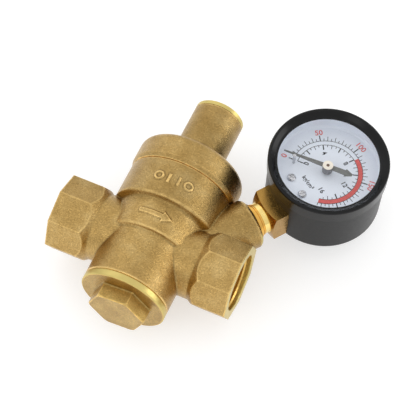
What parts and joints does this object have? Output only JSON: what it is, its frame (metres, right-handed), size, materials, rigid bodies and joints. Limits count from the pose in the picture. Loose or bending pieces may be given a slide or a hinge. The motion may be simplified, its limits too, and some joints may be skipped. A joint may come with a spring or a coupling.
{
  "type": "water pressure regulator",
  "caption": "Brass piston type water pressure regulator with female threaded ports, a spring bonnet with adjusting neck, and an angled round dial gauge.",
  "frame": {"origin": "centre of the mouth of the inlet port", "axes": "+X along the flow from inlet to outlet, +Y along the spring axis towards the neck, +Z the side the dial faces"},
  "size_m": [0.1258, 0.1207, 0.0494],
  "materials": {
    "cast_brass": "sandblasted",
    "plug_brass": "sandblasted, polished rim",
    "cap_brass": "turned",
    "turned_brass": "turned",
    "washer_brass": "turned",
    "socket_brass": "milled",
    "tube_bronze": "drawn",
    "steel": "plated",
    "spring_steel": "drawn",
    "rubber": "matte",
    "case_black": "satin",
    "bezel_black": "gloss",
    "dial_white": "satin",
    "pointer_grey": "satin",
    "lens": "clear"
  },
  "bodies": {
    "valve_body": {"body": "cast_brass", "bonnet": "cast_brass", "bonnet_seal": "rubber", "bottom_plug": "plug_brass", "plug_seal": "rubber", "main_spring": "spring_steel", "boss_washer": "washer_brass", "gauge_socket": "socket_brass", "gauge_case": "case_black", "case_screw_a": "steel", "case_screw_b": "steel", "gauge_bezel": "bezel_black", "gauge_lens": "lens", "lens_gasket": "rubber", "gauge_dial": "dial_white", "dial_screw_a": "steel", "dial_screw_b": "steel", "stop_pin": "steel", "bourdon_tube": "tube_bronze", "movement_back_plate": "turned_brass", "movement_front_plate": "turned_brass", "pillar_a": "steel", "pillar_b": "steel", "hairspring": "spring_steel"},
    "cap": {"neck_cap": "cap_brass"},
    "spring_seat": {"spring_button": "steel"},
    "adjuster": {"adjusting_screw": "turned_brass"},
    "piston_set": {"piston": "turned_brass", "piston_seal": "rubber", "valve_disc": "rubber", "disc_holder": "turned_brass", "stem_nut": "steel"},
    "pointer_set": {"pointer": "pointer_grey", "pinion_arbor": "turned_brass"},
    "sector": {"sector_gear": "turned_brass"},
    "tube_tip": {"tube_tip_lug": "turned_brass"},
    "tip_link": {"link": "turned_brass"}
  },
  "joints": [
    {"name": "cap_unscrew", "type": "slide", "parent": "valve_body", "child": "cap", "axis": [0, 1, 0], "range_m": [0, 0.02]},
    {"name": "spring_seat_slide", "type": "slide", "parent": "valve_body", "child": "spring_seat", "axis": [0, 1, 0], "range_m": [-0.006, 0.0009], "deforming": ["main_spring"]},
    {"name": "adjusting_screw_turn", "type": "hinge", "parent": "spring_seat", "child": "adjuster", "pos_m": [0.04225, 0.05, 0], "axis": [0, 1, 0], "range_deg": [-1445, 220]},
    {"name": "piston_slide", "type": "slide", "parent": "valve_body", "child": "piston_set", "axis": [0, 1, 0], "range_m": [0, 0.0025], "stiffness_N_per_m": 22000, "deforming": ["main_spring"]},
    {"name": "pointer_turn", "type": "hinge", "parent": "valve_body", "child": "pointer_set", "pos_m": [0.09914, 0.05971, 0.0114], "axis": [-0.0242, 0.0171, -0.9996], "range_deg": [0, 265], "deforming": ["hairspring"]},
    {"name": "sector_turn", "type": "hinge", "parent": "valve_body", "child": "sector", "pos_m": [0.09044, 0.06587, 0.00611], "axis": [0.0242, -0.0171, 0.9996], "range_deg": [0, 24.2]},
    {"name": "tip_flex", "type": "slide", "parent": "valve_body", "child": "tube_tip", "axis": [-0.9854, -0.1687, 0.021], "range_m": [0, 0.00214], "stiffness_N_per_m": 100},
    {"name": "link_swing", "type": "hinge", "parent": "tube_tip", "child": "tip_link", "pos_m": [0.08075, 0.06655, 0.00736], "axis": [-0.0242, 0.0171, -0.9996], "range_deg": [0, 3.9]}
  ],
  "couplings": [
    {"joint": "adjusting_screw_turn", "follows": "spring_seat_slide", "rad_per_m": 4188.8},
    {"joint": "pointer_turn", "follows": "tip_flex", "rad_per_m": 2147.5},
    {"joint": "sector_turn", "follows": "tip_flex", "rad_per_m": 195.23},
    {"joint": "link_swing", "follows": "tip_flex", "rad_per_m": 31.025}
  ]
}
